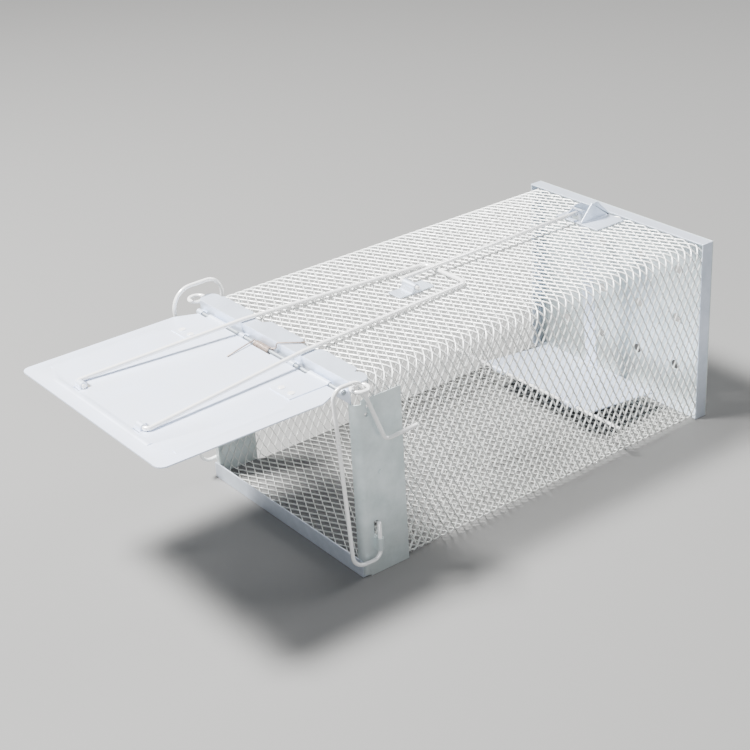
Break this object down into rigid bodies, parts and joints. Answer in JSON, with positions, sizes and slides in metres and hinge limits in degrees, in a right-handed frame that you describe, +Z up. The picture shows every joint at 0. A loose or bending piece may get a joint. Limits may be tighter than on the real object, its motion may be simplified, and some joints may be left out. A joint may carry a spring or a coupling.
{
  "type": "live catch trap",
  "caption": "Live catch cage trap in expanded steel, its sheet door held open by a wire bail, trigger rod and treadle",
  "frame": {"origin": "On the ground, at the centre of the cage's floor, midway between the mouth and the rear wall and between the side plates", "axes": "+X is the trap's right side seen from the front, +Y runs from the mouth to the rear wall, +Z is up"},
  "size_m": [0.1702, 0.3836, 0.1292],
  "materials": {
    "expanded_sheet": "galvanised expanded sheet, pale and slightly dull",
    "zinc_sheet": "zinc-plated sheet with a soft bluish shine",
    "bright_wire": "bright zinc-plated wire",
    "spring_steel": "dull brown tempered spring wire"
  },
  "bodies": {
    "cage": {"mesh_top": "expanded_sheet", "mesh_floor": "expanded_sheet", "mesh_left": "expanded_sheet", "mesh_right": "expanded_sheet", "mesh_bend_left": "expanded_sheet", "mesh_bend_right": "expanded_sheet", "top_rail": "zinc_sheet", "rail_wire": "bright_wire", "side_plate_left": "zinc_sheet", "side_plate_right": "zinc_sheet", "front_sill": "zinc_sheet", "frame_clinches": "zinc_sheet", "hinge_pin": "bright_wire", "spring_coil": "spring_steel", "rod_saddle": "zinc_sheet", "catch_guide": "zinc_sheet", "rear_wall": "zinc_sheet", "rear_band": "zinc_sheet", "treadle_axle": "bright_wire"},
    "door": {"door_plate": "zinc_sheet", "hinge_leaf_left": "zinc_sheet", "hinge_leaf_right": "zinc_sheet", "leaf_rivets": "bright_wire", "spring_leg": "spring_steel"},
    "bail": {"bail": "bright_wire"},
    "rod": {"trigger_rod": "bright_wire"},
    "treadle": {"treadle_pan": "zinc_sheet", "treadle_arm": "zinc_sheet", "treadle_rivets": "bright_wire"},
    "lock_left": {"lock_wire_left": "bright_wire"},
    "lock_right": {"lock_wire_right": "bright_wire"}
  },
  "joints": [
    {"name": "door_swing", "type": "hinge", "parent": "cage", "child": "door", "pos_m": [0, -0.1374, 0.112], "axis": [1, 0, 0], "range_deg": [0, 90]},
    {"name": "bail_swing", "type": "hinge", "parent": "door", "child": "bail", "pos_m": [0, -0.234, 0.11375], "axis": [1, 0, 0], "range_deg": [0, 100]},
    {"name": "rod_lift", "type": "hinge", "parent": "cage", "child": "rod", "pos_m": [0, -0.039, 0.12075], "axis": [1, 0, 0], "range_deg": [0, 150]},
    {"name": "treadle_tilt", "type": "hinge", "parent": "cage", "child": "treadle", "pos_m": [0, 0.0585, 0.019], "axis": [1, 0, 0], "range_deg": [-6, 0]},
    {"name": "lock_swing_left", "type": "hinge", "parent": "cage", "child": "lock_left", "pos_m": [-0.0776, -0.126, 0], "axis": [0, 0, -1], "range_deg": [-10, 8]},
    {"name": "lock_swing_right", "type": "hinge", "parent": "cage", "child": "lock_right", "pos_m": [0.0776, -0.126, 0], "axis": [0, 0, 1], "range_deg": [-10, 8]}
  ]
}
